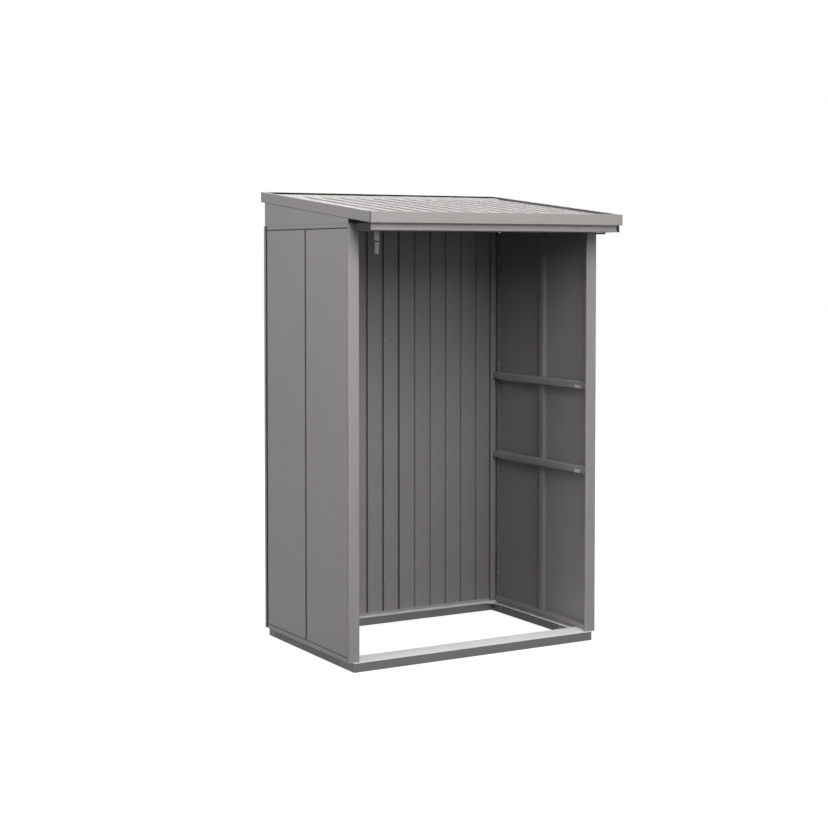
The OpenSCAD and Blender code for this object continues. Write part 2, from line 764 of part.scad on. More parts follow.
module side_fascia()
  intersection() {
    on_roof() run_y(-fascia_h, slope_l + fascia_h) bent([
      [-roof_x + fascia_top, 0], [-roof_x, 0], [-roof_x, -fascia_n],
      [-roof_x + fascia_foot, -fascia_n]
    ]);
    union() {
      box([-roof_x - over, roof_y0 + fascia_end, 0],
          [0, roof_y1 - fascia_end, back_h + fascia_h]);
      box([-roof_x - over, roof_y0 + fascia_seam, 0],
          [-roof_x + frame_t, roof_y1 - fascia_seam, back_h + fascia_h]);
    }
  }
module roof_left_fascia() color(paint) side_fascia();
module roof_right_fascia() color(paint) mirror([1, 0, 0]) side_fascia();

// Angles inside the roof's corners tie the fascias together.
cleat_lift = 6;
module corner_angle() run_z(cleat_lift, cleat_lift + cleat_h)
  bent([[frame_t, frame_t + cleat_leg], [frame_t, frame_t], [frame_t + cleat_leg, frame_t]]);
module roof_corner_angles() color(paint) both_sides() {
  translate([-roof_x, roof_y0, front_h - fascia_h]) corner_angle();
  translate([-roof_x, roof_y1, back_h - fascia_h]) mirror([0, 1, 0]) corner_angle();
}

// Purlins stand on the side fascias' bottom flanges and carry the sheets.
module purlin(l)
  on_roof() run_x(-roof_x + frame_t, roof_x - frame_t) bent([
    [l + purlin_w, -sheet_under], [l, -sheet_under],
    [l, -fascia_n + frame_t], [l + purlin_w, -fascia_n + frame_t]
  ]);
module front_purlin() color(paint) purlin(purlin_at[0]);
module middle_purlin() color(paint) purlin(purlin_at[1]);
module rear_purlin() color(paint) purlin(purlin_at[2]);

// The gutter hangs under the roof's front, a little before the front posts. A
// plate closes its left end, and a plastic stop end closes its right end.
gutter_x = roof_x - gutter_in;
gutter_y1 = post_y - gutter_gap;
gutter_y0 = gutter_y1 - gutter_d;
gutter_foot_y = gutter_y0 - gutter_band_out;
gutter_end_x = gutter_x - stop_end_w / 2;
stop_end_x = gutter_end_x + stop_end_w;
outlet_at = [outlet_x - base_x, gutter_y1 - outlet_y, gutter_z];
module gutter()
  color(paint) difference() {
    run_x(-gutter_x + frame_t, gutter_end_x) bent([
      [gutter_y0 + gutter_lip, wall_h], [gutter_y0, wall_h],
      [gutter_y0, gutter_z + gutter_band_h],
      [gutter_foot_y, gutter_z + gutter_band_h - gutter_band_out],
      [gutter_foot_y, gutter_z], [gutter_y1, gutter_z], [gutter_y1, wall_h]
    ]);
    translate(outlet_at - [0, 0, over])
      cylinder(h = frame_t + 2 * over, d = socket_d + 2 * screw_fit);
    hanger_holes(gutter_y1);
  }
module gutter_left_cap()
  color(paint) box([-gutter_x, gutter_foot_y, gutter_z],
                   [-gutter_x + frame_t, gutter_y1, wall_h]);
module gutter_right_stop_end()
  color(rubber) {
    difference() {
      box([gutter_end_x, gutter_foot_y, gutter_z], [stop_end_x, gutter_y1, wall_h]);
      box([gutter_end_x - over, gutter_foot_y + stop_end_t, gutter_z + stop_end_t],
          [stop_end_x - stop_end_t, gutter_y1 - stop_end_t, wall_h + over]);
    }
    box([wall_x - arm_w, gutter_y1 - arm_lap, gutter_z - arm_h], [wall_x, post_y, gutter_z]);
  }

// Hangers: straps bent to a U upside down, from the header to the gutter's back.
hanger_xs = [-hanger_x, 0, hanger_x];
hanger_lift = 4;
hanger_screw_z = gutter_z + gutter_h / 2;
module hanger_holes(y)
  for (x = hanger_xs) screw_hole([x, y, hanger_screw_z]);
module gutter_hangers()
  color(paint) difference() {
    for (x = hanger_xs) run_x(x - hanger_w / 2, x + hanger_w / 2) bent([
      [post_y, gutter_z + hanger_lift], [post_y, wall_h],
      [gutter_y1, wall_h], [gutter_y1, gutter_z + hanger_lift]
    ]);
    hanger_holes(gutter_y1);
    hanger_holes(post_y);
  }
module gutter_hanger_screws()
  color(zinc) for (x = hanger_xs, y = [gutter_y1, post_y])
    screw([x, y - frame_t, hanger_screw_z]);

// The outlet: a socket through the gutter's floor, a seal, and a spigot that a
// hose or pipe slides over.
rim_h = 3;
rim_out = 0.75;
flange_t = 2;
seal_in = 1;
socket_z = -socket_l;
seal_z = socket_z - seal_h;
spigot_z = seal_z - collar_h - spigot_l;
bore_r = spigot_d / 2 - tube_t;
module outlet_socket()
  color(plastic) translate(outlet_at) difference() {
    union() {
      translate([0, 0, socket_z]) cylinder(h = socket_l + frame_t, d = socket_d);
      translate([0, 0, socket_z]) cylinder(h = rim_h, d = socket_d + 2 * rim_out);
      translate([0, 0, frame_t]) cylinder(h = flange_t, d = flange_d);
    }
    translate([0, 0, socket_z - over])
      cylinder(h = socket_l + frame_t + flange_t + 2 * over, d = spigot_d + 2 * screw_fit);
  }
module outlet_seal()
  color(rubber) translate(outlet_at + [0, 0, seal_z]) difference() {
    cylinder(h = seal_h, d = socket_d - 2 * seal_in);
    translate([0, 0, -over]) cylinder(h = seal_h + 2 * over, d = spigot_d + 2 * screw_fit);
  }
module outlet_spigot()
  color(plastic) translate(outlet_at) difference() {
    union() {
      translate([0, 0, spigot_z])
        cylinder(h = spigot_in + seal_h + collar_h + spigot_l, d = spigot_d);
      translate([0, 0, seal_z - collar_h]) cylinder(h = collar_h, d = collar_d);
    }
    translate([0, 0, spigot_z - over])
      cylinder(h = spigot_in + seal_h + collar_h + spigot_l + 2 * over, r = bore_r);
  }

base_front_sill();
base_back_rail();
base_left_rail();
base_right_rail();
base_corner_brackets();
base_corner_screws();
front_left_post();
front_right_post();
rear_left_post();
rear_right_post();
rear_left_corner_trim();
rear_right_corner_trim();
left_foot_rail();
right_foot_rail();
back_foot_rail();
left_front_panel();
left_rear_panel();
right_front_panel();
right_rear_panel();
back_left_sheet();
back_right_sheet();
left_top_rail();
right_top_rail();
back_top_rail();
front_header();
left_gable();
right_gable();
left_upper_side_rail();
left_lower_side_rail();
right_upper_side_rail();
right_lower_side_rail();
side_rail_brackets();
side_rail_clips();
side_rail_screws();
roof_left_sheet();
roof_right_sheet();
roof_front_fascia();
roof_back_fascia();
roof_left_fascia();
roof_right_fascia();
roof_corner_angles();
front_purlin();
middle_purlin();
rear_purlin();
gutter();
gutter_left_cap();
gutter_right_stop_end();
gutter_hangers();
gutter_hanger_screws();
outlet_socket();
outlet_seal();
outlet_spigot();
panel_screws();
back_foot_screws();
back_lap_screws();
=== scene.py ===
# %% [markdown]
# # A log store in folded sheet steel
#
# This notebook dresses a finished CAD model of a garden log store: an open box of
# folded, grey painted sheet steel on a galvanised base frame, with a ribbed pent
# roof, a gutter under the roof's front edge and a small plastic outlet.
# The CAD model is loaded as a fixed frame. Its solids stay where they are and get
# finishes, and small parts that need rounder forms are replaced by surfaces that
# numpy works out.

# %% Load the frame
import math

import bpy
import numpy as np
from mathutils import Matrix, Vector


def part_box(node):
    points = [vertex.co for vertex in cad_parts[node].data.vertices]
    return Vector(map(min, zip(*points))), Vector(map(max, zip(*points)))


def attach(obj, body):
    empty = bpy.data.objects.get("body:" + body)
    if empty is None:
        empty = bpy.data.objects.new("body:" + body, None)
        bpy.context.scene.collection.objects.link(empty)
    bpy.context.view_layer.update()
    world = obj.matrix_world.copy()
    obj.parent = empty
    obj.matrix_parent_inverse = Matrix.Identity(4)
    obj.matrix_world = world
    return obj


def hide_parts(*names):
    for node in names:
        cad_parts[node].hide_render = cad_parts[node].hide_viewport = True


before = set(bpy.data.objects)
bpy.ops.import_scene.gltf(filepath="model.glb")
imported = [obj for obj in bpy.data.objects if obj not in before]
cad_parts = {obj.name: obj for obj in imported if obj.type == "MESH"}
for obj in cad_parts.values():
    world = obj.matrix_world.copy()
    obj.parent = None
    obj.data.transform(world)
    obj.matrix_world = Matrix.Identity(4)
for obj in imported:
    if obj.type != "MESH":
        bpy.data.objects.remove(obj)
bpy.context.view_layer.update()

# %% [markdown]
# ## Node materials with little code
#
# A material in Blender is a graph of nodes. Writing one out link by link is long,
# so a small helper adds a node, sets its plain values and joins its inputs in one
# call. The nodes that come back most often get short calls of their own. Every
# finish below is built with it, and all of them read Object coordinates, so that a
# pattern stays at its real size in metres on every piece.

# %% A small helper for shader graphs
MM = 0.001
WHITE = (1.0, 1.0, 1.0, 1.0)


class Graph:
    """The node tree of a new material or world. Most calls return an output."""

    def __init__(self, owner):
        owner.use_nodes = True
        self.owner = owner
        self.tree = owner.node_tree
        self.tree.nodes.clear()

    def add(self, kind, inputs=None, **settings):
        """A new node. An input that is another node's output gets linked."""
        node = self.tree.nodes.new("ShaderNode" + kind)
        for key, value in settings.items():
            setattr(node, key, value)
        for key, value in (inputs or {}).items():
            socket = node.inputs[key]
            if isinstance(value, bpy.types.NodeSocket):
                self.tree.links.new(value, socket)
            else:
                socket.default_value = value
        return node

    def object_place(self):
        """Where a point is, in metres from the store's origin."""
        return self.add("TexCoord").outputs["Object"]

    def facing(self):
        """The way that a face looks, as a vector one long."""
        return self.add("NewGeometry").outputs["Normal"]

    def split(self, vector):
        """The x, y and z of a vector."""
        return self.add("SeparateXYZ", {0: vector}).outputs[:]

    def calc(self, operation, *values):
        """One step of arithmetic on numbers or outputs."""
        return self.add("Math", dict(enumerate(values)), operation=operation).outputs[0]

    def times(self, first, *others):
        """All the values multiplied."""
        for other in others:
            first = self.calc("MULTIPLY", first, other)
        return first

    def above(self, value, limit):
        """1 where the value is above the limit, else 0."""
        return self.calc("GREATER_THAN", value, limit)

    def below(self, value, limit):
        """1 where the value is below the limit, else 0."""
        return self.calc("LESS_THAN", value, limit)

    def between(self, value, low, high):
        """1 where the value lies between low and high, else 0."""
        return self.times(self.above(value, low), self.below(value, high))

    def fade(self, value, start, end, low=0.0, high=1.0):
        """Runs from low to high as the value goes from start to end, and stays."""
        return self.add("MapRange", {"Value": value, "From Min": start, "From Max": end,
                                     "To Min": low, "To Max": high}).outputs[0]

    def span(self, factor, low, high):
        """A number that runs from low to high as the factor runs from 0 to 1."""
        return self.fade(factor, 0.0, 1.0, low, high)

    def noise(self, place, scale, detail=2.0, roughness=0.5, output="Fac"):
        """Cloudy noise whose patches are about 1 / scale metres wide."""
        return self.add("TexNoise", {"Vector": place, "Scale": scale, "Detail": detail,
                                     "Roughness": roughness}).outputs[output]

    def ramp(self, factor, stops):
        """A colour from a factor. Stops are (place, colour), or (place, even tone)."""
        node = self.add("ValToRGB", {"Fac": factor})
        band = node.color_ramp
        while len(band.elements) < len(stops):
            band.elements.new(0.5)
        for element, (place, colour) in zip(band.elements, stops):
            element.position = place
            element.color = (*np.broadcast_to(colour, 3).tolist(), 1.0)
        return node.outputs["Color"]

    def mix(self, factor, first, second, blend="MIX"):
        """Two colours mixed. A Mix node keeps its colours at 6 and 7, and out at 2."""
        return self.add("Mix", {"Factor": factor, 6: first, 7: second},
                        data_type="RGBA", blend_type=blend).outputs[2]

    def bump(self, height, strength, depth, normal):
        """The normal tilted as if the surface rose and fell with the height."""
        return self.add("Bump", {"Height": height, "Strength": strength,
                                 "Distance": depth, "Normal": normal}).outputs[0]

    def finish(self, shader, output="OutputMaterial"):
        """Joins the last shader to the output and gives the material or world back."""
        self.add(output, {"Surface": shader.outputs[0]})
        return self.owner


def grey(value, warm=0.0):
    """A linear colour from a screen grey of 0 to 255, a little warmer or cooler."""
    screen = np.array([value + warm, value, value - warm]) / 255.0
    linear = np.where(screen <= 0.04045, screen / 12.92,
                      ((screen + 0.055) / 1.055) ** 2.4)
    return tuple(float(v) for v in linear)


def toned(colour, factor):
    """A colour made darker by a factor below 1, or lighter by one above 1."""
    return tuple(factor * c for c in colour)


print("a screen grey of 128 in linear light:", round(grey(128)[0], 3))

# %% [markdown]
# ## Folds
#
# A sheet that is folded and then coated is worn first along its folds. The Bevel
# node finds them without any extra geometry: it rounds the normals near an edge,
# and where the rounded normal leaves the true one, the surface is a fold. The same
# rounded normal also catches a thin light along each edge, as real folds do. The
# paler tone that the finishes lay on the folds is partly a painted highlight.

# %% Rounded edges and fold lines
FULL_FOLD, NO_FOLD = 0.80, 0.985


def rounded_normal(g, radius):
    """The normal as if every edge were rounded with the radius."""
    return g.add("Bevel", {"Radius": radius}, samples=6).outputs[0]


def fold_line(g, normal, strength=1.0):
    """The strength on folds and 0 on flats, from the two normals' dot product."""
    flat = g.add("VectorMath", {0: normal, 1: g.facing()}, operation="DOT_PRODUCT")
    return g.ramp(flat.outputs["Value"], [(FULL_FOLD, strength), (NO_FOLD, 0.0)])


print("a fold line ends where the normals part by less than",
      round(math.degrees(math.acos(NO_FOLD)), 1), "degrees")

# %% [markdown]
# ## Painted shade
#
# The paint's tone is painted darker where shade falls: in grooves and seams, under the
# roof, on the sides of the roof's ribs, on the lips and rear posts inside the walls,
# and across the back wall towards its right end, where painted light reaches into a
# few grooves. Level faces are painted darker too, partly for fine dust and partly as
# painted shade. Each mark follows the store's own shape, so it is worked out from
# where a point lies and which way its face looks. A mark is a number from 0 to 1,
# and a table says how much of the paint's tone is kept where it is 1. This needs no
# picture and no painting by hand, and every sheet gets its marks in the right places.

# %% Where the painted shade goes
# Pairs are the start and the end of a fade. First how far a face must look up, down,
# to the front or outwards, and how far a rib's side is tilted.
LOOKS_UP, LOOKS_DOWN, LOOKS_FRONT = (0.75, 0.95), (-0.3, -0.6), (-0.1, -0.3)
LOOKS_OUT, RIB_TILT = (0.3, 0.55), (0.1, 0.25)
# Then places in metres. The back wall and its grooves:
BACK_WALL_Y, BACK_GROOVES_Y = 0.4715, (0.4732, 0.4745)
# the middle of the grooves that get painted light, and how far from it they fade in,
LIGHT_GROOVES_X, LIGHT_GROOVES_REACH = 0.315, (0.245, 0.175)
# where the wall's painted shade falls, and what it and its grooves lose from end to end,
WALL_FALL_X, WALL_LOSS, GROOVE_LOSS = (-0.06, 0.52), (-0.14, -0.35), (-0.62, -0.15)
# the side walls, their grooves, the panels' lips and the rear posts as |x|,
SIDE_WALLS_X, SIDE_GROOVES_X = 0.602, (0.6186, 0.6174)
PANEL_LIPS_X, REAR_POSTS_X = (0.6004, 0.6182), (0.5665, 0.6004)
INSIDE_Y, REAR_Y = -0.3, 0.3
# the seam at the front fascia's left end, the roof's hollow, and the roof's ribs.
SEAM_X, SEAM_Y = (-0.6140, -0.6160), (-0.503, -0.506)
HOLLOW_Y, HOLLOW_Z, RIBS_Z = (-0.330, -0.325), (1.8365, 1.8385), 1.862
# How much of the paint's tone each mark keeps: painted shade, and on level faces partly
# dust.
KEPT = {"side groove": 0.62, "level": 0.65, "rib side": 0.68, "seam": 0.35,
        "roof hollow": 0.2, "lip": 0.7, "rear lip": 0.6, "rear post": 0.76}


def back_wall_shade(g, x, y, front):
    """The tone kept on the back wall, which is 1 everywhere else.

    The tone is painted darker from the middle to the right. The grooves lie behind the
    flats and keep less, painted shade in the recess, but round the right sheet's middle,
    where painted light reaches into them, they keep nearly as much as the flats.
    """
    away = g.calc("ABSOLUTE", g.calc("SUBTRACT", x, LIGHT_GROOVES_X))
    light = g.fade(away, *LIGHT_GROOVES_REACH)
    groove = g.times(g.fade(y, *BACK_GROOVES_Y), front)
    keep = g.calc("MULTIPLY_ADD", groove, g.span(light, *GROOVE_LOSS), 1.0)
    wall = g.times(g.above(y, BACK_WALL_Y), front)
    fall = g.calc("MULTIPLY_ADD", wall, g.fade(x, *WALL_FALL_X, *WALL_LOSS), 1.0)
    return g.times(keep, fall)


def side_wall_shade(g, x, y, facing_x, front):
    """Painted shade in the grooves outside the side walls, and on the lips and rear posts
    inside them.

    x times the normal's x is above 0 on both walls' outer faces. A lip in the rear
    half counts twice, because least light gets there.
    """
    side = g.calc("ABSOLUTE", x)
    outward = g.fade(g.times(x, facing_x), *LOOKS_OUT)
    rear = g.above(y, REAR_Y)
    lip = g.times(g.between(side, *PANEL_LIPS_X), front, g.above(y, INSIDE_Y))
    return {"side groove": g.times(g.fade(side, *SIDE_GROOVES_X), outward,
                                   g.above(side, SIDE_WALLS_X)),
            "lip": lip,
            "rear lip": g.times(lip, rear),
            "rear post": g.times(g.between(side, *REAR_POSTS_X), rear, front)}


def roof_shade(g, y, z, rise, front, level):
    """Painted shade under the roof, where faces look down or, behind the gutter, front.

    On the outside only the sides of the ribs get painted shade.
    """
    upright = g.span(level, 1.0, 0.0)
    under_roof = g.times(front, g.fade(y, *HOLLOW_Y), upright)
    under_roof = g.calc("MAXIMUM", under_roof, g.fade(rise, *LOOKS_DOWN))
    return {"roof hollow": g.times(under_roof, g.fade(z, *HOLLOW_Z)),
            "rib side": g.times(g.fade(rise, *RIB_TILT), upright, g.above(z, RIBS_Z))}


def painted_shade(g, place):
    """1 on open upright faces, lower where shade is painted, and on level faces, partly
    for dust.
    """
    x, y, z = g.split(place)
    facing_x, facing_y, rise = g.split(g.facing())
    level = g.fade(rise, *LOOKS_UP)
    front = g.fade(facing_y, *LOOKS_FRONT)
    # Level faces are painted darker: partly dust, partly painted shade.
    marks = {"level": level,
             "seam": g.times(g.fade(y, *SEAM_Y), g.fade(x, *SEAM_X)),
             **side_wall_shade(g, x, y, facing_x, front),
             **roof_shade(g, y, z, rise, front, level)}
    keep = back_wall_shade(g, x, y, front)
    for name, mark in marks.items():
        keep = g.times(keep, g.span(mark, 1.0, KEPT[name]))
    return keep


print("marks keep from", min(KEPT.values()), "to", max(KEPT.values()), "of the tone")

# %% [markdown]
# ## Powder-coated steel
#
# The walls and the roof are steel with a baked powder coat. Close up such paint
# has a fine orange peel, a faint cloudiness where the powder lay thicker, and a
# paler line along each fold, partly where the coat thins and partly a painted
# highlight. Noise in three sizes, from a forearm's length down to a grain, gives the
# first two. The fold lines and the painted shade of the two cells above are laid
# over them.

# %% The painted finish
PAINT, GUTTER_SHADE = grey(150, 2.5), 0.88
# Folds are paler: partly a thinner coat and partly a painted highlight.
THIN_COAT_AND_GLINT = (1.22, 1.22, 1.22, 1.0)


def painted_steel(name, base, roughness=0.48, fold=1.4 * MM):
    """Satin paint: a clouded tone with specks, paler folds and painted shade."""
    g = Graph(bpy.data.materials.new(name))
    place = g.object_place()
    cloud = g.noise(place, 2.3, detail=4.0, roughness=0.6)
    fine = g.noise(place, 60.0, detail=3.0)
    peel = g.noise(place, 420.0)
    colour = g.ramp(cloud, [(0.25, toned(base, 0.955)), (0.75, toned(base, 1.035))])
    speck = g.ramp(fine, [(0.3, 0.975), (0.7, 1.015)])
    mixed = g.mix(1.0, colour, speck, "MULTIPLY")
    paler = g.mix(1.0, mixed, THIN_COAT_AND_GLINT, "MULTIPLY")
    normal = rounded_normal(g, fold)
    folded = g.mix(fold_line(g, normal), mixed, paler)
    # The painted shade, with the dust on level faces, darkens the tone here.
    dust_and_shade = g.add("VectorMath", {0: folded, 3: painted_shade(g, place)}, operation="SCALE")
    return g.finish(g.add("BsdfPrincipled", {
        "Base Color": dust_and_shade.outputs[0],
        "Roughness": g.span(cloud, roughness - 0.04, roughness + 0.05),
        "Normal": g.bump(peel, 0.10, 0.4 * MM, normal),
        "Specular IOR Level": 0.22,
    }))


paint = painted_steel("powder_coat_grey", PAINT)
# The gutter gets a darker copy of the paint: painted shade.
shaded_gutter_paint = painted_steel("powder_coat_gutter_shaded", toned(PAINT, GUTTER_SHADE))
print("made", paint.name, shaded_gutter_paint.name, "from", [round(c, 3) for c in PAINT])

# %% [markdown]
# ## Galvanised steel
#
# Hot-dip zinc cools into flat crystals, the spangle, each with its own tone. They
# grow from scattered points until they meet, and a texture of cells round scattered
# points looks the same once a little noise has bent its straight borders. Level
# faces are painted pale and upright faces darker, so the tone follows how far a face
# looks up: painted light on the level faces and painted shade on the upright ones.
# The folds get a painted highlight.

# %% The galvanised finish
LEVEL_RISE = (0.45, 0.85)
# Painted highlights: one for the side rails' inner lips and one for the folds.
ZINC_GLINT, ZINC_FOLD_GLINT = (0.92, 0.92, 0.92, 1.0), (0.85, 0.85, 0.84, 1.0)


def galvanised(name, level, upright, roughness, metallic, spangle=190.0, glint_x=None):
    """Zinc with one tone on level faces and one on upright ones: painted light and shade.

    The spangle is in crystals per metre. Level faces nearer to the store's middle
    than the given |x|, the inner lips of the base's side rails, get a painted highlight.
    """
    g = Graph(bpy.data.materials.new(name))
    place = g.object_place()
    warp = g.noise(place, 70.0, output="Color")
    bent = g.add("Mix", {"Factor": 0.012, 4: place, 5: warp}, data_type="VECTOR")
    cell = g.add("TexVoronoi", {"Vector": bent.outputs[1], "Scale": spangle})
    shade = g.add("SeparateColor", {"Color": cell.outputs["Color"]}).outputs[0]
    rise = g.split(g.facing())[2]
    # Painted light on level faces and painted shade on upright ones.
    lit_tone = g.ramp(rise, list(zip(LEVEL_RISE, (upright, level))))
    # A painted highlight along the side rails' inner lips.
    if glint_x:
        side = g.calc("ABSOLUTE", g.split(place)[0])
        bright = g.times(g.below(side, glint_x), g.above(rise, 0.5))
        lit_tone = g.mix(bright, lit_tone, ZINC_GLINT)
    crystal = g.ramp(shade, [(0.0, 0.94), (1.0, 1.05)])
    bloom = g.ramp(g.noise(place, 9.0, detail=5.0), [(0.35, 0.95), (0.7, 1.02)])
    mixed = g.mix(1.0, g.mix(1.0, lit_tone, crystal, "MULTIPLY"), bloom, "MULTIPLY")
    normal = rounded_normal(g, 1.6 * MM)
    # The folds get a painted highlight.
    return g.finish(g.add("BsdfPrincipled", {
        "Base Color": g.mix(fold_line(g, normal, 0.8), mixed, ZINC_FOLD_GLINT),
        "Metallic": g.fade(rise, *LEVEL_RISE, metallic, 0.0),
        "Roughness": g.span(shade, roughness - 0.06, roughness + 0.06),
        "Normal": g.bump(shade, 0.05, 0.3 * MM, normal),
    }))


# Pale level faces and dark upright ones: painted light and shade.
zinc = galvanised("galvanised_sheet", grey(241), grey(109), roughness=0.5, metallic=0.12)
# The base's side rails get a darker copy of the zinc: painted shade under the walls.
shaded_zinc = galvanised("galvanised_shaded", grey(138), grey(84), roughness=0.5,
                       metallic=0.12, glint_x=0.566)
clip_zinc = galvanised("galvanised_clip", grey(225), grey(222), roughness=0.4,
                       metallic=0.15)
bright_zinc = galvanised("zinc_plated", grey(176), grey(150), roughness=0.34,
                         metallic=0.8, spangle=900.0)
dark_zinc = galvanised("zinc_plated_dull", grey(70), grey(60), roughness=0.5,
                       metallic=0.4, spangle=900.0)
print("made", zinc.name, shaded_zinc.name, clip_zinc.name, bright_zinc.name, dark_zinc.name)

# %% [markdown]
# ## Plastic and rubber
#
# The outlet is moulded in a cloudy grey plastic that lets a little light in. The
# gutter's two ends are black plastic, and the seal in the outlet is dull rubber.
# All of them get the fine grain of a mould, so one function with a few numbers
# makes all three.

# %% The plastic and rubber finishes
def moulded(name, base, roughness, through=0.0, gloss=0.5):
    """A clouded plastic with a fine grain. Through is how much light passes."""
    g = Graph(bpy.data.materials.new(name))
    place = g.object_place()
    cloud = g.noise(place, 45.0, detail=3.0)
    grain = g.noise(place, 700.0)
    return g.finish(g.add("BsdfPrincipled", {
        "Base Color": g.ramp(cloud, [(0.3, toned(base, 0.88)), (0.7, toned(base, 1.1))]),
        "Roughness": g.span(cloud, roughness - 0.05, roughness + 0.07),
        "Normal": g.bump(grain, 0.12, 0.3 * MM, rounded_normal(g, 0.8 * MM)),
        "Transmission Weight": through, "Specular IOR Level": gloss,
    }))


outlet_plastic = moulded("outlet_plastic", grey(84), roughness=0.30, through=0.06)
black_plastic = moulded("black_plastic", grey(26), roughness=0.55, gloss=0.25)
black_rubber = moulded("black_rubber", grey(24), roughness=0.75, gloss=0.2)
print("made", outlet_plastic.name, black_plastic.name, black_rubber.name)

# %% [markdown]
# ## Finishes on the CAD nodes
#
# A folded sheet's shape is right as it comes from CAD, so most nodes only need
# their finish. All of them are painted first, and then the ones of zinc, plastic
# and rubber are given theirs by name.

# %% Give every CAD node its finish
def put(material, *names):
    """Makes the material the only one of each named node."""
    for name in names:
        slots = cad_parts[name].data.materials
        slots.clear()
        slots.append(material)


put(paint, *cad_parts)
put(shaded_gutter_paint, "gutter")
put(zinc, *[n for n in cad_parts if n.startswith("base_")])
put(shaded_zinc, "base_left_rail", "base_right_rail")
put(clip_zinc, "side_rail_clips")
put(bright_zinc, *[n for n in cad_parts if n.endswith("_screws")])
put(outlet_plastic, "outlet_socket", "outlet_spigot")
put(black_plastic, "gutter_left_cap", "gutter_right_stop_end")
put(black_rubber, "outlet_seal")
print("finishes:", sorted({o.data.materials[0].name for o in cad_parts.values()}))

# %% [markdown]
# ## Screws
#
# A pan-head screw is a turned part: one outline carried round its axis. CAD says
# where each screw is and which way it points, so the places are read from the
# CAD mesh itself: every loose part of a screw node is one screw, its longest
# side is the axis, and the end that is wider is the head.

# %% Surfaces of revolution and loose parts
def revolve(outline, segments):
    """Points r(t), h(t) of an outline turned about the h axis in equal steps.

    A point turned by the angle a lies at x = r cos a, y = r sin a and z = h. Outline
    points whose r is 0 lie on the axis and become one vertex each.
    """
    outline = np.asarray(outline, float)
    angle = np.linspace(0.0, 2.0 * np.pi, segments, endpoint=False)
    r, h = outline[:, 0], outline[:, 1]
    grid = np.stack([r[:, None] * np.cos(angle), r[:, None] * np.sin(angle),
                     np.broadcast_to(h[:, None], (len(h), segments))], axis=-1)
    verts, ring_of, total = [], [], 0
    for k in range(len(outline)):
        ring = grid[k, :1] if r[k] == 0.0 else grid[k]
        verts.append(ring)
        ring_of.append(total + (np.zeros(segments, int) if r[k] == 0.0
                                else np.arange(segments)))
        total += len(ring)
    faces = []
    for a, b in zip(ring_of[:-1], ring_of[1:]):
        for j in range(segments):
            corners = (a[j], a[(j + 1) % segments], b[(j + 1) % segments], b[j])
            face = [int(v) for n, v in enumerate(corners) if v not in corners[:n]]
            if len(face) > 2:
                faces.append(face)
    return np.concatenate(verts), faces


def loose_parts(mesh):
    """Splits a mesh's vertices into connected parts, by passing on low labels."""
    count = len(mesh.vertices)
    points = np.empty(count * 3)
    mesh.vertices.foreach_get("co", points)
    points = points.reshape(-1, 3)
    _, same = np.unique(np.round(points, 6), axis=0, return_inverse=True)
    same = same.ravel()
    edges = np.empty(len(mesh.edges) * 2, int)
    mesh.edges.foreach_get("vertices", edges)
    edges = same[edges.reshape(-1, 2)]
    label = np.arange(same.max() + 1)
    while True:
        low = np.minimum(label[edges[:, 0]], label[edges[:, 1]])
        new = label.copy()
        np.minimum.at(new, edges[:, 0], low)
        np.minimum.at(new, edges[:, 1], low)
        if np.array_equal(new, label):
            break
        label = new
    label = label[same]
    return [points[label == k] for k in np.unique(label)]


def add_piece(name, verts, faces, material, crease=45.0):
    """One object at the origin from vertices and faces, riding on the body.

    Faces are shaded smooth, except over edges that turn by more than the crease.
    """
    mesh = bpy.data.meshes.new(name)
    mesh.from_pydata(np.asarray(verts).tolist(), [], faces)
    mesh.materials.append(material)
    mesh.update()
    mesh.shade_smooth()
    mesh.set_sharp_from_angle(angle=math.radians(crease))
    piece = bpy.data.objects.new(name, mesh)
    bpy.context.scene.collection.objects.link(piece)
    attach(piece, "root")
    return piece


print("a test cone:", len(revolve([(0, 1), (1, 0), (0, 0)], 12)[1]), "faces")

# %% Turn the screws
# The outline in millimetres: a dimple, the pan head down to its seat, the shank.
HEAD_HEIGHT = 2.2
SCREW = [(0.0, 0.9), (1.5, 0.9), (1.75, HEAD_HEIGHT), (2.7, 1.95), (3.4, 1.1), (3.5, 0.0),
         (2.0, 0.0), (2.0, -6.9), (0.0, -6.9)]
DULL_SCREWS = ("base_corner_screws", "back_foot_screws")
screw_verts, screw_faces = revolve(MM * np.array(SCREW), segments=10)


def screw_frames(node):
    """For each screw of a node: its seat's centre and its outward direction."""
    frames = []
    for part in loose_parts(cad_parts[node].data):
        low, high = part.min(axis=0), part.max(axis=0)
        axis = int(np.argmax(high - low))
        middle = (low + high) / 2
        spread = [np.abs(np.delete(part[part[:, axis] == end] - middle, axis, 1)).max()
                  for end in (low[axis], high[axis])]
        sign = 1.0 if spread[1] > spread[0] else -1.0
        out = np.zeros(3)
        out[axis] = sign
        seat = middle.copy()
        seat[axis] = (high[axis] if sign > 0 else low[axis]) - sign * HEAD_HEIGHT * MM
        frames.append((seat, out))
    return frames


def turn_screws(node):
    """Every screw of a node: the turned head moved and turned to its seat."""
    verts, faces = [], []
    for seat, out in screw_frames(node):
        side = np.eye(3)[2 if abs(out[2]) < 0.5 else 0]
        other = np.cross(out, side)
        start = len(verts) * len(screw_verts)
        verts.append(screw_verts @ np.stack([side, other, out]) + seat)
        faces += [[v + start for v in face] for face in screw_faces]
    metal = dark_zinc if node in DULL_SCREWS else bright_zinc
    piece = add_piece(node + "_turned", np.concatenate(verts), faces, metal)
    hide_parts(node)
    print(node, len(verts), "screws,", len(faces), "faces")


for node in [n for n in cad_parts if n.endswith("_screws")]:
    turn_screws(node)

